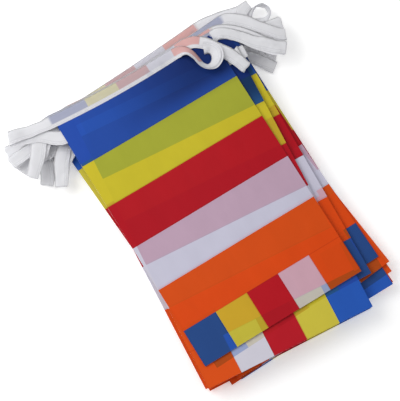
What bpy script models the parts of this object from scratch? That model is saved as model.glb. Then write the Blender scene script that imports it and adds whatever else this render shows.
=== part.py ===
"""A string of small five-colour flags on one white tape, folded to and fro into a flat, fanned stack.

Every flag is a flat sheet of cloth. The tape is one long strip: it runs along the top edge of each flag,
loops out past the stack's side, turns under and comes back along the next flag below.
The stack lies on its back: +X runs along the tape, +Y points to the tape's side and +Z is up.
"""

import math

import bmesh
import bpy
from mathutils import Vector

# Cloth sizes, in metres
FLAG_WIDE = 0.140
BAND = 0.0375
BANDS = 5
END_BAND = 0.0315
FLAG_LONG = BANDS * BAND + END_BAND
TAPE_WIDE = 0.010
SHEET = 0.001
GAP = 0.0003

# How the layers lie: a step from one sheet to the next, more of it out where the loops puff up,
# and the soft rise that the top sheet has on the tape's side
STEP = SHEET + GAP
LOOSE_STEP = 0.0003
LOOSE_FROM = 0.090
LOOSE_TO = 0.112
LOOSE_ABOVE = 0.045
LOOSE_WHOLE = 0.062
RISE = 0.0030
RISE_FROM = -0.070
RISE_TO = 0.110
WAVE = 0.0007
WAVE_LONG = 0.190

# The tape runs this far past a flag's corner before it bends away
HEM_PAST = 0.002

# Steps along the tape and the cloth
HEM_STEPS = 8
LEG_STEPS = 7
FOLD_STEPS = 4
SPLINE_STEPS = 3
ROWS_IN_BAND = 2
CLOTH_COLUMNS = 5

# The flags from the top one down, in millimetres and degrees: where the middle of the line through the
# top corners lies, measured from the middle of the top flag, how far the flag is turned, and how far
# the sewn edge sags below that line in its middle
FLAGS = [
    # hem_x, hem_y, turn, sag
    (-1.6, 107.5, 0.3, 2.7),
    (9.9, 85.2, -4.5, 1.0),
    (-1.9, 109.9, 0.6, 3.6),
    (15.6, 105.9, -2.5, 1.2),
    (-1.0, 104.0, 2.0, 0.8),
    (11.3, 109.2, 1.8, 2.0),
    (1.1, 95.5, 6.0, 0.6),
    (15.8, 87.5, 0.2, 1.4),
    (9.4, 92.6, 3.2, 0.4),
    (6.0, 88.3, -3.8, 1.6),
    (-7.5, 114.2, 3.6, 1.0),
    (2.9, 88.3, 2.0, 0.8),
    (9.5, 102.7, 2.5, 1.4),
    (9.2, 85.7, -4.0, 0.6),
    (13.6, 88.0, 1.5, 1.2),
    (8.6, 90.0, -1.0, 0.8),
]

# The fold at the end of each loop on the left, in millimetres and degrees: the loops join flags
# 1 and 2, 3 and 4 and so on
LEFT_TIPS = [
    # tip_x, tip_y, heading
    (-108.0, 118.5, 164),
    (-108.0, 83.0, 222),
    (-116.0, 101.0, 187),
    (-92.0, 67.0, 244),
    (-112.5, 93.5, 206),
    (-101.0, 75.5, 232),
    (-114.5, 114.5, 176),
    (-110.5, 107.5, 192),
]

# The same on the right, where the loops join flags 4 and 5, 6 and 7 and so on. The loop of flags 2
# and 3 comes forward over the stack, and the loop of flags 12 and 13 stands on its edge
RIGHT_TIPS = {
    # upper flag: tip_x, tip_y, heading
    4: (113.5, 70.5, -40),
    6: (120.0, 82.0, -24),
    8: (123.0, 92.5, -10),
    10: (109.0, 118.0, -4),
    14: (101.5, 66.0, -54),
}
LAST_END = (108.5, 73.0, -44)

# The tape leaves these flags' sewn edges before their right corners: how far along the edge, in
# millimetres from its middle
LEAVES_EARLY = {1: 35.6, 3: 38.0, 4: 53.5}

# The forward loop of flags 2 and 3, in millimetres and degrees: it folds back past flag 2's corner,
# creases aslant, comes forward to its tip and goes back on top, over the corner of flag 1
FORWARD_OUT = (84.5, 84.6)
FORWARD_TURN = (76.0, 85.2, -97)
FORWARD_TIP = (77.7, 71.8, -68)
FORWARD_BACK = [
    # x, y, layers over flag 3
    (76.4, 78.6, 4.0),
    (73.6, 85.6, 4.0),
    (70.2, 91.6, 4.0),
    (66.9, 97.2, 3.1),
    (63.3, 102.7, 3.0),
    (59.2, 107.2, 3.0),
    (54.6, 110.7, 3.0),
    (49.4, 112.9, 2.0),
    (44.0, 113.5, 1.0),
    (39.5, 113.3, 0.3),
]

# The way out of flag 4, over its own corner
CORNER_CROSSED = [
    # x, y, layers over flag 4
    (74.0, 108.4, 1.05),
    (79.0, 105.6, 1.1),
    (84.0, 101.0, 1.1),
    (89.0, 95.5, 1.1),
    (95.0, 89.0, 0.9),
    (101.5, 82.0, 0.6),
    (108.0, 75.5, 0.3),
]

# The loop that stands on its edge, in millimetres and degrees, from flag 12 out and back to flag 13
EDGE_LOOP = [
    # x, y, height over its flat layer, roll
    (84.0, 99.0, 0.0, 180),
    (93.0, 104.5, 0.0, 180),
    (102.0, 110.0, 0.4, 165),
    (110.5, 114.6, 1.4, 120),
    (117.5, 114.6, 2.0, 95),
    (121.8, 109.6, 2.0, 85),
    (120.0, 104.0, 1.8, 75),
    (113.0, 103.0, 1.2, 40),
    (104.0, 105.0, 0.4, 12),
    (94.0, 108.6, 0.0, 0),
]

# The loose end on top, in millimetres and degrees, from its cut end to where it joins the first hem
LOOSE_END = [
    # x, y, lift of its lower edge over the top flag, roll
    (57.5, 101.6, 0.5, 34),
    (61.6, 99.8, 0.5, 33),
    (64.0, 95.3, 0.5, 31),
    (62.6, 89.8, 0.4, 32),
    (58.0, 86.4, 0.3, 42),
    (52.8, 86.9, 0.3, 53),
    (49.6, 91.2, 0.3, 57),
    (48.4, 98.0, 0.3, 55),
    (46.4, 104.6, 0.5, 44),
    (42.8, 109.0, 0.8, 22),
    (38.4, 110.6, 0.2, 6),
]
LOOSE_SETTLES = (104.5, 109.5)

NAME = "prayer_flag_string"
COLOURS = {
    "blue": (0.012, 0.060, 0.330),
    "yellow": (0.800, 0.680, 0.020),
    "red": (0.600, 0.008, 0.016),
    "white": (0.800, 0.800, 0.840),
    "orange": (0.850, 0.160, 0.008),
}
MM = 0.001


def left_of(way):
    return Vector((-way.y, way.x))


def heading(degrees):
    turn = math.radians(degrees)
    return Vector((math.cos(turn), math.sin(turn)))


def spot(x, y):
    return Vector((x * MM, y * MM))


def eased(value, start, end):
    """0 up to the start, 1 from the end on, and a smooth rise between."""
    share = min(max((value - start) / (end - start), 0.0), 1.0)
    return share * share * (3 - 2 * share)


def layer_height(layer, place):
    """The middle of a sheet that lies in a layer, counted from 0 at the bottom. A part layer is allowed."""
    puffed = eased(abs(place.x), LOOSE_FROM, LOOSE_TO) * eased(place.y, LOOSE_ABOVE, LOOSE_WHOLE)
    wave = WAVE * (1 + math.sin(2 * math.pi * (place.x - 0.4 * place.y) / WAVE_LONG))
    rise = RISE * eased(place.y, RISE_FROM, RISE_TO) + wave
    return SHEET / 2 + layer * (STEP + LOOSE_STEP * puffed) + rise * layer / (len(FLAGS) - 1)


def on_layer(layer, place):
    return Vector((place.x, place.y, layer_height(layer, place)))


def flag_frame(number):
    """Middle of the top corners' line, the way along it and down the cloth, of a flag counted from 1."""
    x, y, turn, _ = FLAGS[number - 1]
    along = heading(turn)
    return spot(x, y), along, -left_of(along)


def layer_of(number):
    return len(FLAGS) - number


def sag(number, across, far=0.0):
    """How far the sewn edge sags at a place along it. The sag fades out over the first band of the cloth."""
    most = FLAGS[number - 1][3] * MM
    return most * (1 - (2 * across / FLAG_WIDE) ** 2) * (1 - eased(far, 0, BAND))


def flat_row(layer, place, ahead, cloth_side):
    """The tape's two edges where its middle passes a place, the edge on the cloth's side first."""
    half = left_of(ahead) * cloth_side * TAPE_WIDE / 2
    return [on_layer(layer, place + half), on_layer(layer, place - half)]


def rolled_row(place, ahead, height, roll):
    """The same for a tape rolled about its own length, with the height given."""
    turn = math.radians(roll)
    side = left_of(ahead)
    half = Vector((side.x, side.y, 0)) * math.cos(turn) + Vector((0, 0, 1)) * math.sin(turn)
    middle = Vector((place.x, place.y, height))
    return [middle + half * TAPE_WIDE / 2, middle - half * TAPE_WIDE / 2]


def fold_rows(place, ahead, after, upper, lower, cloth_side):
    """A crease straight across the tape or aslant, from the heading ahead to the one after."""
    out = (ahead - after).normalized()
    across = left_of(out) * cloth_side * TAPE_WIDE / 2 / abs(ahead.dot(out))
    rows = []
    for step in range(FOLD_STEPS + 1):
        turn = math.pi * step / FOLD_STEPS
        row = []
        for side in (across, -across):
            start = on_layer(upper, place + side)
            end = on_layer(lower, place + side)
            bulge = abs(start.z - end.z) / 2 * math.sin(turn)
            point = start.lerp(end, (1 - math.cos(turn)) / 2)
            row.append(point + Vector((out.x, out.y, 0)) * bulge)
        rows.append(row)
    return rows


def curve_spots(start, start_way, end, end_way, steps):
    """Places and headings along a smooth curve between two places, both ends included."""
    pull = (end - start).length
    spots = []
    for step in range(steps + 1):
        t = step / steps
        place = (
            start * (2 * t**3 - 3 * t**2 + 1)
            + start_way * pull * (t**3 - 2 * t**2 + t)
            + end * (3 * t**2 - 2 * t**3)
            + end_way * pull * (t**3 - t**2)
        )
        way = (
            start * (6 * t**2 - 6 * t)
            + start_way * pull * (3 * t**2 - 4 * t + 1)
            + end * (6 * t - 6 * t**2)
            + end_way * pull * (3 * t**2 - 2 * t)
        )
        spots.append((place, way.normalized()))
    return spots


def hem_place(number, across):
    """The tape's middle beside a flag's top edge, at a place along that edge."""
    middle, along, down = flag_frame(number)
    return middle - down * (GAP + TAPE_WIDE / 2 - sag(number, across)) + along * across


def hem_end(number, side):
    """Where the tape's middle leaves a flag's top edge: side -1 is the left end and 1 the right."""
    return hem_place(number, side * (FLAG_WIDE / 2 + HEM_PAST))


def ways_along(places):
    """The heading at each place of a row of places, from its neighbours."""
    last = len(places) - 1
    return [(places[min(i + 1, last)] - places[max(i - 1, 0)]).normalized() for i in range(last + 1)]


def right_end(number):
    """How far along a flag's edge, from its middle, the tape leaves it on the right."""
    return LEAVES_EARLY[number] * MM if number in LEAVES_EARLY else FLAG_WIDE / 2 + HEM_PAST


def hem_rows(number):
    """The stretch along one flag: odd flags are passed from right to left, even ones from left to right."""
    way = -1 if number % 2 else 1
    begin, finish = -FLAG_WIDE / 2 - HEM_PAST, right_end(number)
    if way < 0:
        begin, finish = finish, begin
    stops = [begin + (finish - begin) * step / HEM_STEPS for step in range(HEM_STEPS + 1)]
    places = [hem_place(number, across) for across in stops]
    layer = layer_of(number)
    return [flat_row(layer, place, ahead, -way) for place, ahead in zip(places, ways_along(places))]


def loop_rows(number, tip):
    """The loop from a flag to the one below it: out in the upper layer, a fold, and back in the lower."""
    side = -1 if number % 2 else 1
    tip_place = spot(tip[0], tip[1])
    tip_way = heading(tip[2])
    upper = layer_of(number)
    out_way = flag_frame(number)[1] * side
    home_way = flag_frame(number + 1)[1] * -side
    home = curve_spots(tip_place, -tip_way, hem_end(number + 1, side), home_way, LEG_STEPS)
    if number == 4:
        start = hem_place(number, right_end(number))
        stations = [(start.x / MM, start.y / MM, 0.0), *CORNER_CROSSED, (tip[0], tip[1], 0.0)]
        rows = laid_rows(stations, upper, -side)[1:-1]
    else:
        out = curve_spots(hem_end(number, side), out_way, tip_place, tip_way, LEG_STEPS)
        rows = [flat_row(upper, place, way, -side) for place, way in out[1:-1]]
    rows += fold_rows(tip_place, tip_way, -tip_way, upper, upper - 1, -side)
    rows += [flat_row(upper - 1, place, way, side) for place, way in home[1:-1]]
    return rows


def laid_rows(stations, low, cloth_side):
    """Rows through stations that each say how many layers they lie over a given one."""
    held = spline(stations, SPLINE_STEPS)
    places = [spot(x, y) for x, y, _ in held]
    return [
        flat_row(low + over, place, ahead, cloth_side)
        for (_, _, over), place, ahead in zip(held, places, ways_along(places))
    ]


def forward_rows():
    """The loop of flags 2 and 3: a fold back, a slanting crease, a leg forward, its tip and the way home."""
    out = spot(*FORWARD_OUT)
    turn = spot(*FORWARD_TURN[:2])
    tip = spot(*FORWARD_TIP[:2])
    tip_way = heading(FORWARD_TIP[2])
    forward = heading(FORWARD_TURN[2])
    back = (turn - out).normalized()
    low = layer_of(3)
    rows = fold_rows(out, flag_frame(2)[1], back, low + 1, low + 2, -1)
    rows += fold_rows(turn, back, forward, low + 2, low + 3, 1)
    leg = curve_spots(turn, forward, tip, tip_way, 4)
    rows += [flat_row(low + 3, place, way, -1) for place, way in leg[2:-1]]
    rows += fold_rows(tip, tip_way, -tip_way, low + 3, low + 4, -1)
    join = hem_place(3, right_end(3))
    stations = [(*FORWARD_TIP[:2], 4.0), *FORWARD_BACK, (join.x / MM, join.y / MM, 0.0)]
    return rows + laid_rows(stations, low, 1)[1:-1]


def spline(points, steps):
    """Points on a smooth curve through the given ones, each a tuple of numbers, with all of them kept."""
    ends = [[2 * a - b for a, b in zip(points[0], points[1])]]
    ends.append([2 * a - b for a, b in zip(points[-1], points[-2])])
    held = [ends[0], *points, ends[1]]
    found = []
    for at in range(1, len(held) - 2):
        for step in range(steps):
            t = step / steps
            before, here, there, beyond = held[at - 1 : at + 3]
            found.append([
                b + t / 2 * (c - a + t * (2 * a - 5 * b + 4 * c - d + t * (3 * (b - c) + d - a)))
                for a, b, c, d in zip(before, here, there, beyond)
            ])
    found.append(list(points[-1]))
    return found


def edge_loop_rows():
    """The loop of flags 12 and 13, which turns up on its edge past the others."""
    upper = layer_of(12)
    start = hem_end(12, 1)
    finish = hem_end(13, 1)
    table = [(start.x / MM, start.y / MM, 0, 180), *EDGE_LOOP, (finish.x / MM, finish.y / MM, 0, 0)]
    stations = spline(table, SPLINE_STEPS)
    places = [spot(x, y) for x, y, _, _ in stations]
    rows = []
    for (_, _, lift, roll), place, way in zip(stations, places, ways_along(places)):
        home = eased(180 - roll, 60, 120)
        height = layer_height(upper - home, place) + lift * MM
        rows.append(rolled_row(place, way, height, roll))
    return rows[1:-1]


def loose_end_rows():
    """The cut end that curls on top of the first flag, up to where it joins that flag's hem."""
    top = layer_of(1)
    stations = spline(LOOSE_END, SPLINE_STEPS)
    places = [spot(x, y) for x, y, _, _ in stations]
    rows = []
    for (_, y, lift, roll), place, way in zip(stations, places, ways_along(places)):
        clear = STEP * (1 - eased(y, *LOOSE_SETTLES))
        height = layer_height(top, place) + clear + lift * MM + TAPE_WIDE / 2 * math.sin(math.radians(roll))
        rows.append(rolled_row(place, way, height, roll))
    return rows


def tape_rows():
    """The whole tape, from the loose end on top to the one at the bottom."""
    rows = loose_end_rows() + hem_rows(1)
    for number in range(1, len(FLAGS)):
        if number % 2:
            rows += loop_rows(number, LEFT_TIPS[number // 2])
        elif number == 2:
            rows += forward_rows()
        elif number == 12:
            rows += edge_loop_rows()
        else:
            rows += loop_rows(number, RIGHT_TIPS[number])
        rows += hem_rows(number + 1)
    x, y, turn = LAST_END
    last = len(FLAGS)
    leg = curve_spots(hem_end(last, 1), flag_frame(last)[1], spot(x, y), heading(turn), LEG_STEPS)
    return rows + [flat_row(0, place, way, -1) for place, way in leg[1:]]


def new_object(name, bm, materials, collection):
    mesh = bpy.data.meshes.new(name)
    bm.to_mesh(mesh)
    bm.free()
    for material in materials:
        mesh.materials.append(material)
    obj = bpy.data.objects.new(name, mesh)
    collection.objects.link(obj)
    thicken = obj.modifiers.new("thickness", "SOLIDIFY")
    thicken.thickness = SHEET
    thicken.offset = 0
    return obj


def grid(columns, rows):
    """A flat grid, with each point's column and row."""
    bm = bmesh.new()
    bmesh.ops.create_grid(bm, x_segments=columns, y_segments=rows, size=0.5)
    places = {v: (round((v.co.x + 0.5) * columns), round((v.co.y + 0.5) * rows)) for v in bm.verts}
    return bm, places


def make_flag(number, materials, collection):
    """One flag: five bands across it and, at the free edge, a band of five squares."""
    rows = (BANDS + 1) * ROWS_IN_BAND
    bm, places = grid(CLOTH_COLUMNS, rows)
    middle, along, down = flag_frame(number)
    for vert, (column, row) in places.items():
        in_bands = min(row, BANDS * ROWS_IN_BAND)
        far = (in_bands * BAND + (row - in_bands) * END_BAND) / ROWS_IN_BAND
        across = (column / CLOTH_COLUMNS - 0.5) * FLAG_WIDE
        place = middle + along * across + down * (far + sag(number, across, far))
        vert.co = on_layer(layer_of(number), place)
    for face in bm.faces:
        row = min(places[v][1] for v in face.verts) // ROWS_IN_BAND
        column = min(places[v][0] for v in face.verts)
        square = column if number % 2 else CLOTH_COLUMNS - 1 - column
        face.material_index = row if row < BANDS else square
        face.smooth = True
    bmesh.ops.recalc_face_normals(bm, faces=bm.faces)
    return new_object(f"flag_{number:02d}", bm, materials, collection)


def make_tape(material, collection):
    rows = tape_rows()
    bm, places = grid(len(rows) - 1, 1)
    for vert, (row, side) in places.items():
        vert.co = rows[row][side]
    for face in bm.faces:
        face.smooth = True
    return new_object("tape", bm, [material], collection)


def cloth_material(name, colour, roughness):
    material = bpy.data.materials.new(name)
    material.use_nodes = True
    shader = material.node_tree.nodes["Principled BSDF"]
    shader.inputs["Base Color"].default_value = (*colour, 1)
    shader.inputs["Roughness"].default_value = roughness
    shader.inputs["Metallic"].default_value = 0
    return material


def stand_on_origin(objects):
    """Puts the middle of the whole stack's underside at the origin."""
    bpy.context.view_layer.update()
    graph = bpy.context.evaluated_depsgraph_get()
    points = []
    for obj in objects:
        points += [Vector(corner) for corner in obj.evaluated_get(graph).bound_box]
    low = Vector([min(p[axis] for p in points) for axis in range(3)])
    high = Vector([max(p[axis] for p in points) for axis in range(3)])
    for obj in objects:
        obj.location = (-(low.x + high.x) / 2, -(low.y + high.y) / 2, -low.z)


def main():
    for obj in list(bpy.data.objects):
        bpy.data.objects.remove(obj, do_unlink=True)
    collection = bpy.data.collections.new(NAME)
    bpy.context.scene.collection.children.link(collection)
    cloths = [cloth_material(f"{name}_cloth", colour, 0.45) for name, colour in COLOURS.items()]
    white = cloth_material("white_tape", (0.82, 0.82, 0.85), 0.7)
    objects = [make_flag(number, cloths, collection) for number in range(1, len(FLAGS) + 1)]
    objects.append(make_tape(white, collection))
    stand_on_origin(objects)


main()
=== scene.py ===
"""Dresses a folded string of prayer flags with fine cloths, a doubled white tape and its stitching.

Run as a script, it loads the flags' fixed frame, makes each piece in its place on it and sets the stage.
"""

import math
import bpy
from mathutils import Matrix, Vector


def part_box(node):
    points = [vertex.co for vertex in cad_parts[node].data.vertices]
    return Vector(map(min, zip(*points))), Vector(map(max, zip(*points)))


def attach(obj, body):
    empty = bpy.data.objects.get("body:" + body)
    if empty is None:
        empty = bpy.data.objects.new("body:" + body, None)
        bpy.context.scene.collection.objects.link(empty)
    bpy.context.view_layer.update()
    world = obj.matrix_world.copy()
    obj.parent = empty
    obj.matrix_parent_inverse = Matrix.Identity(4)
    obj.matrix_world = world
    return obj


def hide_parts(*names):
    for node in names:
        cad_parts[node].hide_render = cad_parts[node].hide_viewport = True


bl_info = {
    "name": "Folded Prayer Flag String",
    "version": (1, 0, 0),
    "blender": (4, 5, 0),
    "location": "3D View > Sidebar > Prayer Flags",
    "description": "Cloths, tape and stitching of a string of small flags folded into a flat stack",
    "category": "Add Mesh",
}

import bmesh
import bpy
from mathutils import Matrix, Vector, noise

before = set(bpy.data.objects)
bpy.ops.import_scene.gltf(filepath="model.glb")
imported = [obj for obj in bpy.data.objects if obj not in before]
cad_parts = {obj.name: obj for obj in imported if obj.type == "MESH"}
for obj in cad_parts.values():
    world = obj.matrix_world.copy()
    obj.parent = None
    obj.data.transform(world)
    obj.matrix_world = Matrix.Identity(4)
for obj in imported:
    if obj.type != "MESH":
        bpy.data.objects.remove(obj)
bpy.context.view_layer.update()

MM = 0.001

# How the layers lie, as in the solids: the step from one sheet to the next, more of it out where the
# loops puff up, and the soft rise and wave that all the sheets share
SOLID_SHEET = 0.001
GAP = 0.0003
STEP = SOLID_SHEET + GAP
LOOSE_STEP = 0.0003
LOOSE_FROM = 0.090
LOOSE_TO = 0.112
LOOSE_ABOVE = 0.045
LOOSE_WHOLE = 0.062
RISE = 0.0030
RISE_FROM = -0.070
RISE_TO = 0.110
WAVE = 0.0007
WAVE_LONG = 0.190

# The tape runs this far past a flag's corner before it bends away
HEM_PAST = 0.002

# Steps along the tape
HEM_STEPS = 44
LEG_STEPS = 18
FOLD_STEPS = 8
SPLINE_STEPS = 8

# The flags from the top one down, in millimetres and degrees: where the middle of the line through the
# top corners lies, measured from the middle of the top flag, how far the flag is turned, and how far
# the sewn edge sags below that line in its middle
FLAGS = [
    # hem_x, hem_y, turn, sag
    (-1.6, 107.5, 0.3, 2.7),
    (9.9, 85.2, -4.5, 1.0),
    (-1.9, 109.9, 0.6, 3.6),
    (15.6, 105.9, -2.5, 1.2),
    (-1.0, 104.0, 2.0, 0.8),
    (11.3, 109.2, 1.8, 2.0),
    (1.1, 95.5, 6.0, 0.6),
    (15.8, 87.5, 0.2, 1.4),
    (9.4, 92.6, 3.2, 0.4),
    (6.0, 88.3, -3.8, 1.6),
    (-7.5, 114.2, 3.6, 1.0),
    (2.9, 88.3, 2.0, 0.8),
    (9.5, 102.7, 2.5, 1.4),
    (9.2, 85.7, -4.0, 0.6),
    (13.6, 88.0, 1.5, 1.2),
    (8.6, 90.0, -1.0, 0.8),
]

# The fold at the end of each loop on the left, in millimetres and degrees: the loops join flags
# 1 and 2, 3 and 4 and so on
LEFT_TIPS = [
    # tip_x, tip_y, heading
    (-108.0, 118.5, 164),
    (-108.0, 83.0, 222),
    (-116.0, 101.0, 187),
    (-92.0, 67.0, 244),
    (-112.5, 93.5, 206),
    (-101.0, 75.5, 232),
    (-114.5, 114.5, 176),
    (-110.5, 107.5, 192),
]

# The same on the right, where the loops join flags 4 and 5, 6 and 7 and so on. The loop of flags 2
# and 3 comes forward over the stack, and the loop of flags 12 and 13 stands on its edge
RIGHT_TIPS = {
    # upper flag: tip_x, tip_y, heading
    4: (113.5, 70.5, -40),
    6: (120.0, 82.0, -24),
    8: (123.0, 92.5, -10),
    10: (109.0, 118.0, -4),
    14: (101.5, 66.0, -54),
}
LAST_END = (108.5, 73.0, -44)

# The tape leaves these flags' sewn edges before their right corners: how far along the edge, in
# millimetres from its middle
LEAVES_EARLY = {1: 35.6, 3: 38.0, 4: 53.5}

# The forward loop of flags 2 and 3, in millimetres and degrees: it folds back past flag 2's corner,
# creases aslant, comes forward to its tip and goes back on top, over the corner of flag 1
FORWARD_OUT = (84.5, 84.6)
FORWARD_TURN = (76.0, 85.2, -97)
FORWARD_TIP = (77.7, 71.8, -68)
FORWARD_BACK = [
    # x, y, layers over flag 3
    (76.4, 78.6, 4.0),
    (73.6, 85.6, 4.0),
    (70.2, 91.6, 4.0),
    (66.9, 97.2, 3.1),
    (63.3, 102.7, 3.0),
    (59.2, 107.2, 3.0),
    (54.6, 110.7, 3.0),
    (49.4, 112.9, 2.0),
    (44.0, 113.5, 1.0),
    (39.5, 113.3, 0.3),
]

# The way out of flag 4, over its own corner
CORNER_CROSSED = [
    # x, y, layers over flag 4
    (74.0, 108.4, 1.05),
    (79.0, 105.6, 1.1),
    (84.0, 101.0, 1.1),
    (89.0, 95.5, 1.1),
    (95.0, 89.0, 0.9),
    (101.5, 82.0, 0.6),
    (108.0, 75.5, 0.3),
]

# The loop that stands on its edge, in millimetres and degrees, from flag 12 out and back to flag 13
EDGE_LOOP = [
    # x, y, height over its flat layer, roll
    (84.0, 99.0, 0.0, 180),
    (93.0, 104.5, 0.0, 180),
    (102.0, 110.0, 0.4, 165),
    (110.5, 114.6, 1.4, 120),
    (117.5, 114.6, 2.0, 95),
    (121.8, 109.6, 2.0, 85),
    (120.0, 104.0, 1.8, 75),
    (113.0, 103.0, 1.2, 40),
    (104.0, 105.0, 0.4, 12),
    (94.0, 108.6, 0.0, 0),
]

# The loose end on top, in millimetres and degrees, from its cut end to where it joins the first hem
LOOSE_END = [
    # x, y, lift of its lower edge over the top flag, roll
    (57.5, 101.6, 0.5, 34),
    (61.6, 99.8, 0.5, 33),
    (64.0, 95.3, 0.5, 31),
    (62.6, 89.8, 0.4, 32),
    (58.0, 86.4, 0.3, 42),
    (52.8, 86.9, 0.3, 53),
    (49.6, 91.2, 0.3, 57),
    (48.4, 98.0, 0.3, 55),
    (46.4, 104.6, 0.5, 44),
    (42.8, 109.0, 0.8, 22),
    (38.4, 110.6, 0.2, 6),
]
LOOSE_SETTLES = (104.5, 109.5)

# The loose end still holds the orange end of the cloth's edge along this share of it
LOOSE_PRINT_FROM = 0.62
LOOSE_PRINT_AT = 0.9

# The way home of the forward loop is bare up to this share of it and holds the cloth's edge after that
FORWARD_BARE = 0.58

COLOURS = ("blue", "yellow", "red", "white", "orange")

# How much of what lies below each colour lets through, in red, green and blue
SEE_THROUGH = {
    "blue": (0.004, 0.05, 0.30),
    "yellow": (0.37, 0.24, 0.04),
    "red": (0.20, 0.004, 0.006),
    "white": (0.45, 0.38, 0.34),
    "orange": (0.40, 0.022, 0.003),
}
# How much of the lower cloths shows through each cloth, from the lowest one painted up to the cloth itself
SHEER = (1.0, 1.0, 0.5, 1.0)
BELOW_ALL = (0.80, 0.80, 0.84)

# The maps of a cloth: its own print, where it lies on each of the three cloths below, and its plain place,
# which places the painted shade
PRINT = "print"
UNDER = ("under_1", "under_2", "under_3")
PAINTED_SHADE_MAP = "backing"

# How strongly a tape below shows through, and how strong and half as wide the lines between the bands are
TAPE_SEEN = 0.25
SEAM_STRENGTH = 0.30
SEAM_HALF_WIDE = 0.0006

# Painted shade on the first band: it darkens between these shares of its width, and fades between these
# shares of its length
PAINTED_SHADE_ACROSS = (0.15, 0.85)
PAINTED_SHADE_DOWN = (0.20, 0.10)
PAINTED_SHADE_STRENGTH = 0.66

# Nothing comes nearer to the floor than this
FLOOR_CLEAR = 0.00035

# Unevenness of a cloth in metres: broad swells, fine ones and the puckers beside the seam
BROAD = 0.00022
BROAD_SCALE = 22
FINE = 0.00010
PUCKER = 0.00009
PUCKER_PITCH = 0.011
PUCKERS_FADE = (0.001, 0.014)

# How unruly the tape is where no cloth is sewn into it: height of its ripples in metres, how far its
# leaves slip and lift apart and its edges waver in shares, and the length over which that sets in
TAPE_COLUMNS = 12
RIPPLE_SEWN = 0.00008
RIPPLE = 0.00060
LEAF_SLIP = 0.34
LEAF_LIFTS = 0.7
EDGE_WAVER = 0.10
FREE_LENGTH = 0.012

# Across the tape, as shares of its width from the open edge: where the print shows and where the fine
# darker lines of its selvedge and needle holes run
PRINT_SHOWS = (0.30, 0.96)
PRINT_STRENGTH = 0.46
RIBBON_LINES = (0.10, 0.25)
LINE_HALF_WIDE = 0.035
LINE_STRENGTH = 0.22
LINE_COLOUR = (0.35, 0.36, 0.42)
TAPE_GLOW = 0.15
TAPE_SHEER = 0.27

STITCH_IN = 0.17
STITCH_SIDES = 5
STITCH_RINGS = 3

# Soft boxes: where each stands, its size in metres and its power in watts
SOFT_BOXES = {
    # name: x, y, z, size, power
    "key": (-0.36, 0.42, 0.62, 0.6, 4.2),
    "fill": (1.3, -0.6, 1.7, 1.6, 4.5),
    "top": (0.0, 0.1, 2.4, 1.4, 5.5),
}
ROOM_LIGHT = 0.35
FLOOR_GLOW = 0.32

# The maps of the tape: across and along it, and the print that shows through
TAPE_FACE = "tape_face"
TAPE_PRINT = "tape_print"


class ClothSettings(bpy.types.PropertyGroup):
    """Sizes and colours of the flags."""

    flag_wide: bpy.props.FloatProperty(
        name="Flag width", description="Width of one cloth along the tape", default=0.140, unit="LENGTH"
    )
    band: bpy.props.FloatProperty(
        name="Band", description="Depth of each of the five bands", default=0.0375, unit="LENGTH"
    )
    end_band: bpy.props.FloatProperty(
        name="End band", description="Depth of the last band of squares", default=0.0315, unit="LENGTH"
    )
    turned_in: bpy.props.FloatProperty(
        name="Turned in", description="Cloth that is sewn into the tape", default=0.0063, unit="LENGTH"
    )
    thickness: bpy.props.FloatProperty(
        name="Cloth thickness", description="Thickness of the cloth", default=0.00022, unit="LENGTH"
    )
    cell: bpy.props.FloatProperty(
        name="Cell", description="Size of the mesh's cells", default=0.0024, unit="LENGTH"
    )
    blue: bpy.props.FloatVectorProperty(
        name="Blue", description="Blue band and square", default=(0.017, 0.070, 0.360), subtype="COLOR"
    )
    yellow: bpy.props.FloatVectorProperty(
        name="Yellow", description="Yellow band and square", default=(0.590, 0.500, 0.025),
        subtype="COLOR",
    )
    red: bpy.props.FloatVectorProperty(
        name="Red", description="Red band and square", default=(0.440, 0.005, 0.014), subtype="COLOR"
    )
    white: bpy.props.FloatVectorProperty(
        name="White", description="White band and square", default=(0.600, 0.590, 0.720), subtype="COLOR"
    )
    orange: bpy.props.FloatVectorProperty(
        name="Orange", description="Orange band and square", default=(0.760, 0.070, 0.004),
        subtype="COLOR",
    )


class TapeSettings(bpy.types.PropertyGroup):
    """Sizes and colours of the tape and its stitching."""

    wide: bpy.props.FloatProperty(
        name="Tape width", description="Width of the tape once doubled", default=0.010, unit="LENGTH"
    )
    apart: bpy.props.FloatProperty(
        name="Leaf height", description="From the middle to each leaf", default=0.00030, unit="LENGTH"
    )
    thickness: bpy.props.FloatProperty(
        name="Tape thickness", description="Thickness of one leaf", default=0.00016, unit="LENGTH"
    )
    flat_wide: bpy.props.FloatProperty(
        name="Ribbon width", description="Width before it was doubled", default=0.020, unit="LENGTH"
    )
    flat_long: bpy.props.FloatProperty(
        name="Ribbon length", description="Length of the whole ribbon", default=3.80, unit="LENGTH"
    )
    colour: bpy.props.FloatVectorProperty(
        name="Tape", description="Colour of the tape", default=(0.950, 0.950, 0.975), subtype="COLOR"
    )
    stitch_long: bpy.props.FloatProperty(
        name="Stitch", description="Length of one stitch", default=0.0022, unit="LENGTH"
    )
    stitch_thick: bpy.props.FloatProperty(
        name="Thread", description="Thickness of the thread", default=0.00032, unit="LENGTH"
    )
    stitch_pitch: bpy.props.FloatProperty(
        name="Stitch pitch", description="From one stitch to the next", default=0.0030, unit="LENGTH"
    )


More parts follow.
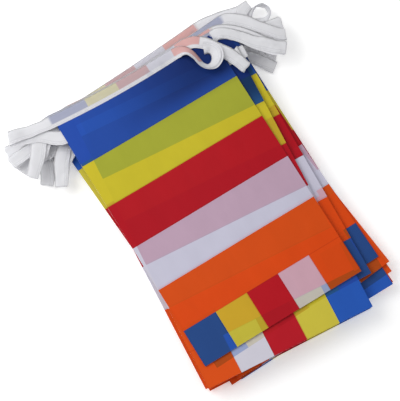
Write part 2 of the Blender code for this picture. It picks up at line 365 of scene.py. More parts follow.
class StageSettings(bpy.types.PropertyGroup):
    """Floor, light and camera."""

    floor_size: bpy.props.FloatProperty(
        name="Floor", description="Side of the floor", default=6.0, unit="LENGTH"
    )
    floor_colour: bpy.props.FloatVectorProperty(
        name="Floor colour", description="Colour of the floor", default=(0.985, 0.985, 0.985),
        subtype="COLOR",
    )
    azimuth: bpy.props.FloatProperty(
        name="Azimuth", description="Camera's bearing", default=math.radians(-31.23), subtype="ANGLE"
    )
    elevation: bpy.props.FloatProperty(
        name="Elevation", description="Camera's height", default=math.radians(77.1), subtype="ANGLE"
    )
    distance: bpy.props.FloatProperty(
        name="Distance", description="From the camera to the stack", default=1.3, unit="LENGTH"
    )
    span: bpy.props.FloatProperty(
        name="Span", description="Width of the view at the stack", default=0.3082, unit="LENGTH"
    )
    aim: bpy.props.FloatVectorProperty(
        name="Aim", description="Where the camera looks, from the top flag's middle",
        default=(-0.00745, -0.0002, 0.022), subtype="XYZ",
    )


def left_of(way):
    return Vector((-way.y, way.x))


def heading(degrees):
    turn = math.radians(degrees)
    return Vector((math.cos(turn), math.sin(turn)))


def spot(x, y):
    return Vector((x * MM, y * MM))


def eased(value, start, end):
    """0 up to the start, 1 from the end on, and a smooth rise between."""
    share = min(max((value - start) / (end - start), 0.0), 1.0)
    return share * share * (3 - 2 * share)


def layer_height(layer, place):
    """The middle of a sheet in a layer, counted from 0 at the bottom. A part layer is allowed."""
    puffed = eased(abs(place.x), LOOSE_FROM, LOOSE_TO) * eased(place.y, LOOSE_ABOVE, LOOSE_WHOLE)
    wave = WAVE * (1 + math.sin(2 * math.pi * (place.x - 0.4 * place.y) / WAVE_LONG))
    rise = RISE * eased(place.y, RISE_FROM, RISE_TO) + wave
    return SOLID_SHEET / 2 + layer * (STEP + LOOSE_STEP * puffed) + rise * layer / (len(FLAGS) - 1)


def on_layer(layer, place):
    return Vector((place.x, place.y, layer_height(layer, place)))


def cloths():
    return bpy.context.scene.prayer_cloths


def tape():
    return bpy.context.scene.prayer_tape


def flag_long():
    return len(COLOURS) * cloths().band + cloths().end_band


def flag_frame(number):
    """Middle of the top corners' line, the way along it and down the cloth, of a flag counted from 1."""
    x, y, turn, _ = FLAGS[number - 1]
    along = heading(turn)
    return spot(x, y), along, -left_of(along)


def layer_of(number):
    return len(FLAGS) - number


def sag(number, across, far=0.0):
    """How far the sewn edge sags at a place along it. The sag fades out over the cloth's first band."""
    most = FLAGS[number - 1][3] * MM
    return most * (1 - (2 * across / cloths().flag_wide) ** 2) * (1 - eased(far, 0, cloths().band))


def flat_row(layer, place, ahead, cloth_side):
    """The tape's two edges where its middle passes a place, the edge on the cloth's side first."""
    half = left_of(ahead) * cloth_side * tape().wide / 2
    return [on_layer(layer, place + half), on_layer(layer, place - half)]


def rolled_row(place, ahead, height, roll):
    """The same for a tape rolled about its own length, with the height given."""
    turn = math.radians(roll)
    side = left_of(ahead)
    half = Vector((side.x, side.y, 0)) * math.cos(turn) + Vector((0, 0, 1)) * math.sin(turn)
    middle = Vector((place.x, place.y, height))
    return [middle + half * tape().wide / 2, middle - half * tape().wide / 2]


def fold_rows(place, ahead, after, upper, lower, cloth_side):
    """A crease straight across the tape or aslant, from the heading ahead to the one after."""
    out = (ahead - after).normalized()
    across = left_of(out) * cloth_side * tape().wide / 2 / abs(ahead.dot(out))
    rows = []
    for step in range(FOLD_STEPS + 1):
        turn = math.pi * step / FOLD_STEPS
        row = []
        for side in (across, -across):
            start = on_layer(upper, place + side)
            end = on_layer(lower, place + side)
            bulge = abs(start.z - end.z) / 2 * math.sin(turn)
            point = start.lerp(end, (1 - math.cos(turn)) / 2)
            row.append(point + Vector((out.x, out.y, 0)) * bulge)
        rows.append(row)
    return rows


def curve_spots(start, start_way, end, end_way, steps):
    """Places and headings along a smooth curve between two places, both ends included."""
    pull = (end - start).length
    spots = []
    for step in range(steps + 1):
        t = step / steps
        place = (
            start * (2 * t**3 - 3 * t**2 + 1)
            + start_way * pull * (t**3 - 2 * t**2 + t)
            + end * (3 * t**2 - 2 * t**3)
            + end_way * pull * (t**3 - t**2)
        )
        way = (
            start * (6 * t**2 - 6 * t)
            + start_way * pull * (3 * t**2 - 4 * t + 1)
            + end * (6 * t - 6 * t**2)
            + end_way * pull * (3 * t**2 - 2 * t)
        )
        spots.append((place, way.normalized()))
    return spots


def hem_place(number, across):
    """The tape's middle beside a flag's top edge, at a place along that edge."""
    middle, along, down = flag_frame(number)
    return middle - down * (GAP + tape().wide / 2 - sag(number, across)) + along * across


def hem_end(number, side):
    """Where the tape's middle leaves a flag's top edge: side -1 is the left end and 1 the right."""
    return hem_place(number, side * (cloths().flag_wide / 2 + HEM_PAST))


def ways_along(places):
    """The heading at each place of a row of places, from its neighbours."""
    last = len(places) - 1
    return [(places[min(i + 1, last)] - places[max(i - 1, 0)]).normalized() for i in range(last + 1)]


def print_place(number, across):
    """Where a place along a flag's edge lies in the row of squares. Even flags show their other face."""
    share = across / cloths().flag_wide + 0.5
    return share if number % 2 else 1 - share


def right_end(number):
    """How far along a flag's edge, from its middle, the tape leaves it on the right."""
    return LEAVES_EARLY[number] * MM if number in LEAVES_EARLY else cloths().flag_wide / 2 + HEM_PAST


def hem_rows(number):
    """The stretch along one flag: odd flags are passed from right to left, even ones the other way."""
    way = -1 if number % 2 else 1
    begin, finish = -cloths().flag_wide / 2 - HEM_PAST, right_end(number)
    if way < 0:
        begin, finish = finish, begin
    stops = [begin + (finish - begin) * step / HEM_STEPS for step in range(HEM_STEPS + 1)]
    places = [hem_place(number, across) for across in stops]
    layer = layer_of(number)
    edges = [flat_row(layer, place, ahead, -way) for place, ahead in zip(places, ways_along(places))]
    return [(*pair, print_place(number, across)) for pair, across in zip(edges, stops)]


def plain(edges):
    """Rows of the tape with no cloth in it."""
    return [(*pair, None) for pair in edges]


def loop_rows(number, tip):
    """The loop from a flag to the next one: out in the upper layer, a fold, and back in the lower."""
    side = -1 if number % 2 else 1
    tip_place = spot(tip[0], tip[1])
    tip_way = heading(tip[2])
    upper = layer_of(number)
    out_way = flag_frame(number)[1] * side
    home_way = flag_frame(number + 1)[1] * -side
    home = curve_spots(tip_place, -tip_way, hem_end(number + 1, side), home_way, LEG_STEPS)
    if number == 4:
        start = hem_place(number, right_end(number))
        stations = [(start.x / MM, start.y / MM, 0.0), *CORNER_CROSSED, (tip[0], tip[1], 0.0)]
        edges = laid_rows(stations, upper, -side)[1:-1]
    else:
        out = curve_spots(hem_end(number, side), out_way, tip_place, tip_way, LEG_STEPS)
        edges = [flat_row(upper, place, way, -side) for place, way in out[1:-1]]
    edges += fold_rows(tip_place, tip_way, -tip_way, upper, upper - 1, -side)
    edges += [flat_row(upper - 1, place, way, side) for place, way in home[1:-1]]
    return plain(edges)


def laid_rows(stations, low, cloth_side):
    """Rows through stations that each say how many layers they lie over a given one."""
    held = spline(stations, SPLINE_STEPS)
    places = [spot(x, y) for x, y, _ in held]
    return [
        flat_row(low + over, place, ahead, cloth_side)
        for (_, _, over), place, ahead in zip(held, places, ways_along(places))
    ]


def forward_rows():
    """The loop of flags 2 and 3: a fold back, a slanting crease, a leg forward, its tip, the way home."""
    out = spot(*FORWARD_OUT)
    turn = spot(*FORWARD_TURN[:2])
    tip = spot(*FORWARD_TIP[:2])
    tip_way = heading(FORWARD_TIP[2])
    forward = heading(FORWARD_TURN[2])
    back = (turn - out).normalized()
    low = layer_of(3)
    edges = fold_rows(out, flag_frame(2)[1], back, low + 1, low + 2, -1)
    edges += fold_rows(turn, back, forward, low + 2, low + 3, 1)
    leg = curve_spots(turn, forward, tip, tip_way, LEG_STEPS)
    edges += [flat_row(low + 3, place, way, -1) for place, way in leg[LEG_STEPS // 2 : -1]]
    edges += fold_rows(tip, tip_way, -tip_way, low + 3, low + 4, -1)
    join = hem_place(3, right_end(3))
    stations = [(*FORWARD_TIP[:2], 4.0), *FORWARD_BACK, (join.x / MM, join.y / MM, 0.0)]
    home = laid_rows(stations, low, 1)[1:-1]
    bare = round(len(home) * FORWARD_BARE)
    middle, along, _ = flag_frame(3)
    rows = plain(edges + home[:bare])
    for edge, outer in home[bare:]:
        across = (((edge + outer) / 2).to_2d() - middle).dot(along)
        rows.append((edge, outer, print_place(3, across)))
    return rows


def spline(points, steps):
    """Points on a smooth curve through the given ones, each a tuple of numbers, all of them kept."""
    ends = [[2 * a - b for a, b in zip(points[0], points[1])]]
    ends.append([2 * a - b for a, b in zip(points[-1], points[-2])])
    held = [ends[0], *points, ends[1]]
    found = []
    for at in range(1, len(held) - 2):
        for step in range(steps):
            t = step / steps
            before, here, there, beyond = held[at - 1 : at + 3]
            found.append([
                b + t / 2 * (c - a + t * (2 * a - 5 * b + 4 * c - d + t * (3 * (b - c) + d - a)))
                for a, b, c, d in zip(before, here, there, beyond)
            ])
    found.append(list(points[-1]))
    return found


def edge_loop_rows():
    """The loop of flags 12 and 13, which turns up on its edge past the others."""
    upper = layer_of(12)
    start = hem_end(12, 1)
    finish = hem_end(13, 1)
    table = [(start.x / MM, start.y / MM, 0, 180), *EDGE_LOOP, (finish.x / MM, finish.y / MM, 0, 0)]
    stations = spline(table, SPLINE_STEPS)
    places = [spot(x, y) for x, y, _, _ in stations]
    edges = []
    for (_, _, lift, roll), place, way in zip(stations, places, ways_along(places)):
        home = eased(180 - roll, 60, 120)
        height = layer_height(upper - home, place) + lift * MM
        edges.append(rolled_row(place, way, height, roll))
    return plain(edges[1:-1])


def loose_end_rows():
    """The cut end that curls on top of the first flag, up to where it joins that flag's hem."""
    top = layer_of(1)
    stations = spline(LOOSE_END, SPLINE_STEPS)
    places = [spot(x, y) for x, y, _, _ in stations]
    edges = []
    for (_, y, lift, roll), place, way in zip(stations, places, ways_along(places)):
        clear = STEP * (1 - eased(y, *LOOSE_SETTLES))
        raised = tape().wide / 2 * math.sin(math.radians(roll))
        height = layer_height(top, place) + clear + lift * MM + raised
        edges.append(rolled_row(place, way, height, roll))
    printed = len(edges) * LOOSE_PRINT_FROM
    return [(*pair, LOOSE_PRINT_AT if at > printed else None) for at, pair in enumerate(edges)]


def tape_rows():
    """The whole tape, from the loose end on top to the last one: two edges and the print seen there."""
    rows = loose_end_rows() + hem_rows(1)
    for number in range(1, len(FLAGS)):
        if number % 2:
            rows += loop_rows(number, LEFT_TIPS[number // 2])
        elif number == 2:
            rows += forward_rows()
        elif number == 12:
            rows += edge_loop_rows()
        else:
            rows += loop_rows(number, RIGHT_TIPS[number])
        rows += hem_rows(number + 1)
    x, y, turn = LAST_END
    last = len(FLAGS)
    leg = curve_spots(hem_end(last, 1), flag_frame(last)[1], spot(x, y), heading(turn), LEG_STEPS)
    return rows + plain([flat_row(0, place, way, -1) for place, way in leg[1:]])


def frame_shift():
    """From the middle of the top flag, where the tables start, to the frame's own origin."""
    middle, along, down = flag_frame(1)
    half = along * cloths().flag_wide / 2
    corners = [middle + side + end for side in (half, -half) for end in (down * 0, down * flag_long())]
    low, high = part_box("flag_01")
    planned_x = (min(c.x for c in corners) + max(c.x for c in corners)) / 2
    planned_y = min(c.y for c in corners)
    return Vector(((low.x + high.x) / 2 - planned_x, low.y - planned_y, 0))


def grid(columns, rows):
    """A flat grid, with each point's column and row."""
    bm = bmesh.new()
    bmesh.ops.create_grid(bm, x_segments=columns, y_segments=rows, size=0.5)
    places = {v: (round((v.co.x + 0.5) * columns), round((v.co.y + 0.5) * rows)) for v in bm.verts}
    return bm, places


def new_piece(name, bm, material, node=None, thickness=0.0):
    """An object from a bmesh in its place on the frame. It stands for the node's solid, if one is given."""
    bmesh.ops.translate(bm, verts=bm.verts, vec=frame_shift())
    for edge in bm.edges:
        edge.smooth = not edge.is_boundary
    mesh = bpy.data.meshes.new(name)
    bm.to_mesh(mesh)
    bm.free()
    mesh.materials.append(material)
    for face in mesh.polygons:
        face.use_smooth = True
    piece = bpy.data.objects.new(name, mesh)
    bpy.context.scene.collection.objects.link(piece)
    if thickness:
        thicken = piece.modifiers.new("thickness", "SOLIDIFY")
        thicken.thickness = thickness
        thicken.offset = 0
    if node:
        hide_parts(node)
    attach(piece, "root")
    return piece


def cloth_share(number, place):
    """Where a place in plan lies on a flag: 0 to 1 across its print and 0 to 1 down the cloth."""
    middle, along, down = flag_frame(number)
    offset = place - middle
    return print_place(number, offset.dot(along)), offset.dot(down) / flag_long()


def cloth_relief(number, place, across, far):
    """Soft unevenness of one cloth, small enough to stay in its own layer."""
    seed = Vector((0, 0, 3.1 * number))
    broad = noise.noise(Vector((place.x, place.y, 0)) * BROAD_SCALE + seed)
    fine = noise.noise(Vector((across * 55, far * 38, 0)) + seed)
    shift = 2.0 * noise.noise(Vector((across * 40, 0, 0)) + seed)
    pucker = math.sin(across * 2 * math.pi / PUCKER_PITCH + shift)
    near_hem = 1 - eased(far, *PUCKERS_FADE)
    return BROAD * broad + FINE * fine + PUCKER * near_hem * pucker


def make_cloth(number, material):
    """One flag as a fine sheet, its top edge turned into the tape."""
    settings = cloths()
    long = flag_long()
    columns = round(settings.flag_wide / settings.cell)
    rows = round((long + settings.turned_in) / settings.cell)
    bm, places = grid(columns, rows)
    middle, along, down = flag_frame(number)
    maps = [bm.loops.layers.uv.new(name) for name in (PRINT, *UNDER, PAINTED_SHADE_MAP)]
    shares = {}
    for vert, (column, row) in places.items():
        across = (column / columns - 0.5) * settings.flag_wide
        turned = settings.turned_in
        if number in LEAVES_EARLY:
            turned *= 1 - eased(across, right_end(number) - 0.006, right_end(number) + 0.002)
        far = row / rows * (long + turned) - turned
        place = middle + along * across + down * (far + sag(number, across, max(far, 0)))
        vert.co = on_layer(layer_of(number), place)
        vert.co.z = max(vert.co.z + cloth_relief(number, place, across, far), FLOOR_CLEAR)
        own = (print_place(number, across), far / long)
        below = [
            cloth_share(number + k, place) if number + k <= len(FLAGS) else (-1, -1)
            for k in range(1, len(UNDER) + 1)
        ]
        shares[vert] = [own, *below, (across / settings.flag_wide + 0.5, far / long)]
    for face in bm.faces:
        for loop in face.loops:
            for layer, share in zip(maps, shares[loop.vert]):
                loop[layer].uv = share
    node = f"flag_{number:02d}"
    piece = new_piece(f"cloth_{number:02d}", bm, material, node, thickness=settings.thickness)
    return piece


def tape_stations():
    """Each row of the tape: its edge, the ways across and up, its place along, its print, its freedom."""
    rows = tape_rows()
    centres = [(edge + outer) / 2 for edge, outer, _ in rows]
    last = len(rows) - 1
    runs = [0.0]
    for before, after in zip(centres, centres[1:]):
        runs.append(runs[-1] + (after - before).length)
    held = [run for run, row in zip(runs, rows) if row[2] is not None]
    stations = []
    for at, (edge, outer, shown) in enumerate(rows):
        ahead = centres[min(at + 1, last)] - centres[max(at - 1, 0)]
        across = outer - edge
        up = ahead.cross(across).normalized()
        away = 0.0 if shown is not None else min(abs(runs[at] - run) for run in held)
        stations.append((edge, across, up, runs[at], shown, eased(away, 0, FREE_LENGTH)))
    return stations


def leaf_spot(edge, across, up, run, free, from_fold, leaf):
    """A place on a leaf, 0 at the tape's folded edge and 1 at its open one. Leaf 1 faces up and -1 down."""
    lift = tape().apart * (1 + LEAF_LIFTS * free * (1 + noise.noise(Vector((run * 60, leaf, 0)))))
    spread = lift * min(from_fold * 4, 1.0) ** 0.5 if from_fold else 0.0
    ripple = RIPPLE_SEWN + RIPPLE * free
    sway = ripple * noise.noise(Vector((run * 110, from_fold * 1.6, 3 * leaf)))
    sway += ripple * 0.7 * noise.noise(Vector((run * 240, from_fold * 3.0, 7 * leaf)))
    slip = free * LEAF_SLIP * noise.noise(Vector((run * 26, 4 * leaf, 9))) * from_fold
    waver = free * EDGE_WAVER * noise.noise(Vector((run * 75, 2, 2)))
    place = edge + across * (1 - from_fold - slip + waver) + up * (leaf * spread + sway)
    place.z = max(place.z, FLOOR_CLEAR)
    return place


def make_tape(material):
    """The ribbon, doubled over its outer edge, as one sheet of two leaves."""
    settings = tape()
    stations = tape_stations()
    bm, places = grid(len(stations) - 1, TAPE_COLUMNS)
    face_map = bm.loops.layers.uv.new(TAPE_FACE)
    print_map = bm.loops.layers.uv.new(TAPE_PRINT)
    shares = {}
    for vert, (row, column) in places.items():
        edge, across, up, run, shown, free = stations[row]
        fold = column / TAPE_COLUMNS * 2 - 1
        from_fold = abs(fold)
        vert.co = leaf_spot(edge, across, up, run, free, from_fold, 1 if fold > 0 else -1)
        shares[vert] = ((1 - from_fold, run), (shown or 0.0, 0.0 if shown is None else 1.0))
    for face in bm.faces:
        for loop in face.loops:
            loop[face_map].uv, loop[print_map].uv = shares[loop.vert]
    piece = new_piece("doubled_tape", bm, material, "tape", settings.thickness)
    return piece


def make_stitches(material):
    """A line of lockstitches near the tape's open edge, on both of its faces, along the whole string."""
    settings = tape()
    stations = tape_stations()
    one = one_stitch(settings)
    bm = bmesh.new()
    next_at = settings.stitch_pitch
    for before, after in zip(stations, stations[1:]):
        while before[3] <= next_at < after[3]:
            share = (next_at - before[3]) / (after[3] - before[3])
            edge = before[0].lerp(after[0], share)
            across = before[1].lerp(after[1], share)
            up = before[2].lerp(after[2], share).normalized()
            side = across.normalized()
            ahead = side.cross(up).normalized()
            free = before[5] + (after[5] - before[5]) * share
            for face in (1, -1):
                middle = leaf_spot(edge, across, up, next_at, free, 1 - STITCH_IN, face)
                middle += up * face * settings.thickness * 0.6
                middle.z = max(middle.z, settings.stitch_thick / 2)
                turned = Matrix((ahead, side, up)).transposed().to_4x4()
                copy = one.copy()
                copy.transform(Matrix.Translation(middle) @ turned)
                bm.from_mesh(copy)
                bpy.data.meshes.remove(copy)
            next_at += settings.stitch_pitch
    bpy.data.meshes.remove(one)
    return new_piece("stitches", bm, material)


def one_stitch(settings):
    """A long round grain of thread that lies along X."""
    bm = bmesh.new()
    bmesh.ops.create_uvsphere(bm, u_segments=STITCH_SIDES, v_segments=STITCH_RINGS, radius=0.5)
    bmesh.ops.rotate(bm, verts=bm.verts, matrix=Matrix.Rotation(math.pi / 2, 3, "Y"))
    size = Vector((settings.stitch_long, settings.stitch_thick, settings.stitch_thick))
    bmesh.ops.scale(bm, verts=bm.verts, vec=size)
    mesh = bpy.data.meshes.new("stitch")
    bm.to_mesh(mesh)
    bm.free()
    return mesh


def add(tree, kind, **values):
    """A new node with the given settings."""
    node = tree.nodes.new(kind)
    for name, value in values.items():
        setattr(node, name, value)
    return node


def feed(tree, socket, value):
    """Links an output to a socket, or sets the socket to a plain value."""
    if isinstance(value, bpy.types.NodeSocket):
        tree.links.new(value, socket)
    else:
        socket.default_value = value


def calc(tree, operation, *values):
    """A Math node on the values."""
    node = add(tree, "ShaderNodeMath", operation=operation)
    for socket, value in zip(node.inputs, values):
        feed(tree, socket, value)
    return node.outputs[0]


def mixed(tree, share, first, second, blend="MIX"):
    """A mix of two colours."""
    node = add(tree, "ShaderNodeMix", data_type="RGBA", blend_type=blend)
    feed(tree, node.inputs[0], share)
    feed(tree, node.inputs[6], first)
    feed(tree, node.inputs[7], second)
    return node.outputs[2]


def stepped(tree, place, colours, width):
    """A row of plain colours, each as wide as given."""
    ramp = add(tree, "ShaderNodeValToRGB")
    ramp.color_ramp.interpolation = "CONSTANT"
    stops = ramp.color_ramp.elements
    stops.remove(stops[1])
    for at, colour in enumerate(colours):
        stop = stops[0] if at == 0 else stops.new(at * width)
        stop.position = at * width
        stop.color = (*colour, 1)
    feed(tree, ramp.inputs[0], place)
    return ramp.outputs[0]


def seam_line(tree, place, pitch, length):
    """1 on the lines between bands or squares, a pitch apart in shares of a length, and 0 away from them."""
    nearest = calc(tree, "PINGPONG", place, pitch / 2)
    away = calc(tree, "MULTIPLY", nearest, length)
    inner = calc(tree, "DIVIDE", away, SEAM_HALF_WIDE)
    return calc(tree, "SUBTRACT", 1.0, calc(tree, "MINIMUM", inner, 1.0))


def between(tree, place, low, high):
    """1 where a place lies between two values and 0 elsewhere."""
    past = calc(tree, "GREATER_THAN", place, low)
    short = calc(tree, "LESS_THAN", place, high)
    return calc(tree, "MULTIPLY", past, short)


def sheet_group():
    """One printed cloth over whatever shows from below: its own colours, let through a little."""
    settings = cloths()
    tree = bpy.data.node_groups.new("cloth over what lies below", "ShaderNodeTree")
    tree.interface.new_socket("Place", in_out="INPUT", socket_type="NodeSocketVector")
    tree.interface.new_socket("Below", in_out="INPUT", socket_type="NodeSocketColor")
    tree.interface.new_socket("Sheer", in_out="INPUT", socket_type="NodeSocketFloat")
    tree.interface.new_socket("Colour", in_out="OUTPUT", socket_type="NodeSocketColor")
    entry = add(tree, "NodeGroupInput")
    leave = add(tree, "NodeGroupOutput")
    split = add(tree, "ShaderNodeSeparateXYZ")
    feed(tree, split.inputs[0], entry.outputs["Place"])
    across, down = split.outputs[0], split.outputs[1]
    palette = [tuple(getattr(settings, name)) for name in COLOURS]
    band = settings.band / flag_long()
    hem = tape().wide / flag_long()
    bands = stepped(tree, down, palette, band)
    squares = stepped(tree, across, palette, 1 / len(COLOURS))
    in_squares = calc(tree, "GREATER_THAN", down, band * len(COLOURS))
    printed = mixed(tree, in_squares, bands, squares)
    over_bands = seam_line(tree, down, band, flag_long())
    over_squares = seam_line(tree, across, 1 / len(COLOURS), settings.flag_wide)
    line = calc(tree, "MAXIMUM", over_bands, calc(tree, "MULTIPLY", over_squares, in_squares))
    line = calc(tree, "MULTIPLY", line, SEAM_STRENGTH)
    own = mixed(tree, line, printed, (0.0, 0.0, 0.0, 1))
    clear = [SEE_THROUGH[name] for name in COLOURS]
    clear_bands = stepped(tree, down, clear, band)
    clear_squares = stepped(tree, across, clear, 1 / len(COLOURS))
    let_through = add(tree, "ShaderNodeVectorMath", operation="SCALE")
    feed(tree, let_through.inputs[0], mixed(tree, in_squares, clear_bands, clear_squares))
    feed(tree, let_through.inputs["Scale"], entry.outputs["Sheer"])
    seen = add(tree, "ShaderNodeMix", data_type="VECTOR", factor_mode="NON_UNIFORM")
    feed(tree, seen.inputs[1], let_through.outputs[0])
    feed(tree, seen.inputs[4], own)
    feed(tree, seen.inputs[5], entry.outputs["Below"])
    inside = between(tree, across, 0.0, 1.0)
    on_cloth = between(tree, down, 0.0, 1.0)
    above = calc(tree, "MULTIPLY", between(tree, down, -hem, 0.0), TAPE_SEEN)
    taped = mixed(tree, above, entry.outputs["Below"], (*tape().colour, 1))
    over = mixed(tree, on_cloth, taped, seen.outputs[1])
    feed(tree, leave.inputs["Colour"], mixed(tree, inside, entry.outputs["Below"], over))
    return tree


def shader_of(material):
    material.use_nodes = True
    return material.node_tree.nodes["Principled BSDF"]


def place_on(tree, name):
    return add(tree, "ShaderNodeUVMap", uv_map=name).outputs[0]


def scaled(tree, vector, factors):
    node = add(tree, "ShaderNodeVectorMath", operation="MULTIPLY")
    feed(tree, node.inputs[0], vector)
    node.inputs[1].default_value = factors
    return node.outputs[0]


def weave_bump(tree, shader, metres, pitch, creases, crease_size):
    """A fine plain weave with soft, stretched creases under it."""
    threads = []
    for direction in ("X", "Y"):
        wave = add(tree, "ShaderNodeTexWave", wave_type="BANDS", bands_direction=direction)
        feed(tree, wave.inputs["Vector"], metres)
        wave.inputs["Scale"].default_value = 2 * math.pi / (20 * pitch)
        threads.append(wave.outputs["Fac"])
    weave = calc(tree, "MULTIPLY", *threads)
    crease = add(tree, "ShaderNodeTexNoise")
    feed(tree, crease.inputs["Vector"], scaled(tree, metres, (1.0, 0.45, 1.0)))
    crease.inputs["Scale"].default_value = 1 / crease_size
    crease.inputs["Detail"].default_value = 3.0
    soft = add(tree, "ShaderNodeBump")
    soft.inputs["Strength"].default_value = creases
    soft.inputs["Distance"].default_value = crease_size * 0.06
    feed(tree, soft.inputs["Height"], crease.outputs["Fac"])
    fine = add(tree, "ShaderNodeBump")
    fine.inputs["Strength"].default_value = 0.12
    fine.inputs["Distance"].default_value = pitch * 0.3
    feed(tree, fine.inputs["Height"], weave)
    feed(tree, fine.inputs["Normal"], soft.outputs[0])
    feed(tree, shader.inputs["Normal"], fine.outputs[0])
    return crease.outputs["Fac"]


def painted_shade_share(tree):
    """How much painted shade darkens the first band towards its right end."""
    own = add(tree, "ShaderNodeSeparateXYZ")
    feed(tree, own.inputs[0], place_on(tree, PAINTED_SHADE_MAP))
    shares = []
    for socket, (start, stop) in zip(own.outputs, (PAINTED_SHADE_ACROSS, PAINTED_SHADE_DOWN)):
        ramp = add(tree, "ShaderNodeMapRange", interpolation_type="SMOOTHSTEP")
        feed(tree, ramp.inputs["Value"], socket)
        ramp.inputs["From Min"].default_value = min(start, stop)
        ramp.inputs["From Max"].default_value = max(start, stop)
        ramp.inputs["To Min"].default_value = float(start > stop)
        ramp.inputs["To Max"].default_value = float(start < stop)
        shares.append(ramp.outputs[0])
    return calc(tree, "MULTIPLY", calc(tree, "MULTIPLY", *shares), PAINTED_SHADE_STRENGTH)


def cloth_material():
    """Thin printed cloth, smooth and a little shiny, that shows the cloths below it, with painted shade at
    the right end of its first band.
    """
    material = bpy.data.materials.new("printed cloth")
    shader = shader_of(material)
    tree = material.node_tree
    group = sheet_group()
    colour = (*BELOW_ALL, 1)
    for name, sheer in zip((*reversed(UNDER), PRINT), SHEER):
        sheet = add(tree, "ShaderNodeGroup", node_tree=group)
        feed(tree, sheet.inputs["Place"], place_on(tree, name))
        feed(tree, sheet.inputs["Sheer"], sheer)
        feed(tree, sheet.inputs["Below"], colour)
        colour = sheet.outputs["Colour"]
    metres = scaled(tree, place_on(tree, PRINT), (cloths().flag_wide, flag_long(), 1.0))
    unevenness = weave_bump(tree, shader, metres, 0.0004, 0.35, 0.012)
    # The colour is a little darker where the crease noise is low and a little lighter where it is high
    crease_tone = add(tree, "ShaderNodeMapRange")
    feed(tree, crease_tone.inputs["Value"], unevenness)
    crease_tone.inputs["To Min"].default_value = 0.93
    crease_tone.inputs["To Max"].default_value = 1.05
    grey = add(tree, "ShaderNodeCombineColor")
    for socket in grey.inputs[:3]:
        feed(tree, socket, crease_tone.outputs[0])
    colour = mixed(tree, 1.0, colour, grey.outputs[0], "MULTIPLY")
    # Painted shade: the colour is pulled towards a near black blue at the right end of the first band
    feed(tree, shader.inputs["Base Color"], mixed(tree, painted_shade_share(tree), colour, (0.0, 0.0, 0.02, 1)))
    shader.inputs["Roughness"].default_value = 0.45
    shader.inputs["Specular IOR Level"].default_value = 0.10
    shader.inputs["Sheen Weight"].default_value = 0.02
    shader.inputs["Sheen Roughness"].default_value = 0.4
    return material


def tape_material():
    """White woven ribbon, sheer enough to show the print that is sewn into it."""
    settings = tape()
    material = bpy.data.materials.new("white ribbon")
    shader = shader_of(material)
    tree = material.node_tree
    face = add(tree, "ShaderNodeSeparateXYZ")
    feed(tree, face.inputs[0], place_on(tree, TAPE_FACE))
    shown = add(tree, "ShaderNodeSeparateXYZ")
    feed(tree, shown.inputs[0], place_on(tree, TAPE_PRINT))
    palette = [tuple(getattr(cloths(), name)) for name in COLOURS]
    printed = stepped(tree, shown.outputs[0], palette, 1 / len(COLOURS))
    from_edge = face.outputs[0]
    strip = calc(tree, "MULTIPLY", between(tree, from_edge, *PRINT_SHOWS), shown.outputs[1])
    strip = calc(tree, "MULTIPLY", strip, PRINT_STRENGTH)
    colour = mixed(tree, strip, (*settings.colour, 1), printed)
    for place in RIBBON_LINES:
        away = calc(tree, "ABSOLUTE", calc(tree, "SUBTRACT", from_edge, place))
        inner = calc(tree, "MINIMUM", calc(tree, "DIVIDE", away, LINE_HALF_WIDE), 1.0)
        near = calc(tree, "SUBTRACT", 1.0, inner)
        colour = mixed(tree, calc(tree, "MULTIPLY", near, LINE_STRENGTH), colour, (*LINE_COLOUR, 1))
    feed(tree, shader.inputs["Base Color"], colour)
    metres = scaled(tree, place_on(tree, TAPE_FACE), (settings.wide, 1.0, 1.0))
    weave_bump(tree, shader, metres, 0.0006, 0.7, 0.006)
    shader.inputs["Roughness"].default_value = 0.7
    shader.inputs["Specular IOR Level"].default_value = 0.25
    shader.inputs["Sheen Weight"].default_value = 0.05
    glow = add(tree, "ShaderNodeBsdfTranslucent")
    feed(tree, glow.inputs["Color"], colour)
    sheer = add(tree, "ShaderNodeBsdfTransparent")
    surface = shader.outputs[0]
    for other, share in ((glow, TAPE_GLOW), (sheer, TAPE_SHEER)):
        blend = add(tree, "ShaderNodeMixShader")
        blend.inputs[0].default_value = share
        feed(tree, blend.inputs[1], surface)
        feed(tree, blend.inputs[2], other.outputs[0])
        surface = blend.outputs[0]
    feed(tree, tree.nodes["Material Output"].inputs[0], surface)
    return material


def thread_material():
    """White sewing thread with a light twist."""
    material = bpy.data.materials.new("white thread")
    shader = shader_of(material)
    tree = material.node_tree
    where = add(tree, "ShaderNodeTexCoord").outputs["Object"]
    twist = add(tree, "ShaderNodeTexNoise")
    feed(tree, twist.inputs["Vector"], where)
    twist.inputs["Scale"].default_value = 2500.0
    strands = [(0.72, 0.72, 0.75), (0.90, 0.90, 0.92)]
    ramp = stepped(tree, twist.outputs["Fac"], strands, 0.5)
    feed(tree, shader.inputs["Base Color"], ramp)
    shader.inputs["Roughness"].default_value = 0.6
    return material


class PRAYERFLAGS_OT_cloths(bpy.types.Operator):
    """Makes the sixteen cloths, each on its own solid."""

    bl_idname = "prayer_flags.cloths"
    bl_label = "Make the Cloths"

    def execute(self, context):
        material = cloth_material()
        for number in range(len(FLAGS), 0, -1):
            make_cloth(number, material)
        return {"FINISHED"}


class PRAYERFLAGS_OT_tape(bpy.types.Operator):
    """Makes the doubled tape with its loops."""

    bl_idname = "prayer_flags.tape"
    bl_label = "Make the Tape"

    def execute(self, context):
        make_tape(tape_material())
        return {"FINISHED"}


class PRAYERFLAGS_OT_stitches(bpy.types.Operator):
    """Sews the tape along its open edge."""

    bl_idname = "prayer_flags.stitches"
    bl_label = "Sew the Stitches"

    def execute(self, context):
        make_stitches(thread_material())
        return {"FINISHED"}


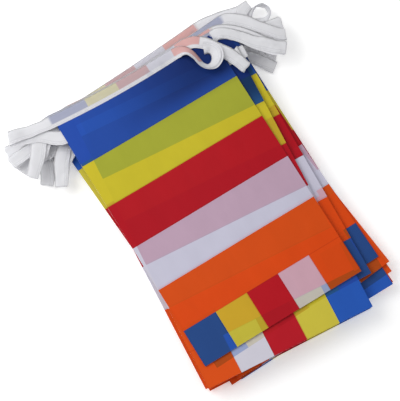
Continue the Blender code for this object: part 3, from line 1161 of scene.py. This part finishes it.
class PRAYERFLAGS_OT_stage(bpy.types.Operator):
    """Sets a pale floor, soft light and the camera."""

    bl_idname = "prayer_flags.stage"
    bl_label = "Set the Stage"

    def execute(self, context):
        settings = context.scene.prayer_stage
        lay_floor(settings)
        hang_lights()
        set_camera(context.scene, settings)
        return {"FINISHED"}


def lay_floor(settings):
    bm = bmesh.new()
    bmesh.ops.create_grid(bm, x_segments=1, y_segments=1, size=settings.floor_size / 2)
    mesh = bpy.data.meshes.new("floor")
    bm.to_mesh(mesh)
    bm.free()
    floor = bpy.data.objects.new("floor", mesh)
    bpy.context.scene.collection.objects.link(floor)
    material = bpy.data.materials.new("pale floor")
    shader = shader_of(material)
    shader.inputs["Base Color"].default_value = (*settings.floor_colour, 1)
    shader.inputs["Roughness"].default_value = 0.9
    shader.inputs["Specular IOR Level"].default_value = 0.1
    shader.inputs["Emission Color"].default_value = (1, 1, 1, 1)
    shader.inputs["Emission Strength"].default_value = FLOOR_GLOW
    mesh.materials.append(material)


def hang_lights():
    scene = bpy.context.scene
    for name, (x, y, z, size, power) in SOFT_BOXES.items():
        light = bpy.data.lights.new(name, "AREA")
        light.size = size
        light.energy = power
        lamp = bpy.data.objects.new(name, light)
        lamp.location = (x, y, z)
        lamp.rotation_euler = Vector((x, y, z)).to_track_quat("Z", "Y").to_euler()
        scene.collection.objects.link(lamp)
    world = bpy.data.worlds.new("soft room")
    world.use_nodes = True
    room = world.node_tree.nodes["Background"]
    room.inputs["Color"].default_value = (1, 1, 1, 1)
    room.inputs["Strength"].default_value = ROOM_LIGHT
    scene.world = world
    scene.view_settings.view_transform = "Standard"


def set_camera(scene, settings):
    flat = math.cos(settings.elevation)
    towards = Vector((
        math.sin(settings.azimuth) * flat,
        -math.cos(settings.azimuth) * flat,
        math.sin(settings.elevation),
    ))
    lens = bpy.data.cameras.new("camera")
    lens.sensor_fit = "HORIZONTAL"
    lens.lens = lens.sensor_width * settings.distance / settings.span
    camera = bpy.data.objects.new("camera", lens)
    camera.location = Vector(settings.aim) + frame_shift() + towards * settings.distance
    camera.rotation_euler = towards.to_track_quat("Z", "Y").to_euler()
    scene.collection.objects.link(camera)
    scene.camera = camera


class PRAYERFLAGS_PT_panel(bpy.types.Panel):
    """Lists the pieces in the order in which they are made."""

    bl_label = "Prayer Flags"
    bl_idname = "PRAYERFLAGS_PT_panel"
    bl_space_type = "VIEW_3D"
    bl_region_type = "UI"
    bl_category = "Prayer Flags"

    def draw(self, context):
        layout = self.layout
        for name in SETTINGS:
            settings = getattr(context.scene, name)
            box = layout.box()
            for field in settings.__annotations__:
                box.prop(settings, field)
        for operator in MAKERS:
            layout.operator(operator.bl_idname)


SETTINGS = {
    "prayer_cloths": ClothSettings,
    "prayer_tape": TapeSettings,
    "prayer_stage": StageSettings,
}
MAKERS = (PRAYERFLAGS_OT_stage, PRAYERFLAGS_OT_cloths, PRAYERFLAGS_OT_tape, PRAYERFLAGS_OT_stitches)


def register():
    for cls in (*SETTINGS.values(), *MAKERS, PRAYERFLAGS_PT_panel):
        bpy.utils.register_class(cls)
    for name, cls in SETTINGS.items():
        setattr(bpy.types.Scene, name, bpy.props.PointerProperty(type=cls))


def unregister():
    for name in SETTINGS:
        delattr(bpy.types.Scene, name)
    for cls in (PRAYERFLAGS_PT_panel, *reversed(MAKERS), *reversed(SETTINGS.values())):
        bpy.utils.unregister_class(cls)


def main():
    register()
    bpy.ops.prayer_flags.stage()
    bpy.ops.prayer_flags.cloths()
    bpy.ops.prayer_flags.tape()
    bpy.ops.prayer_flags.stitches()


if __name__ == "__main__":
    main()
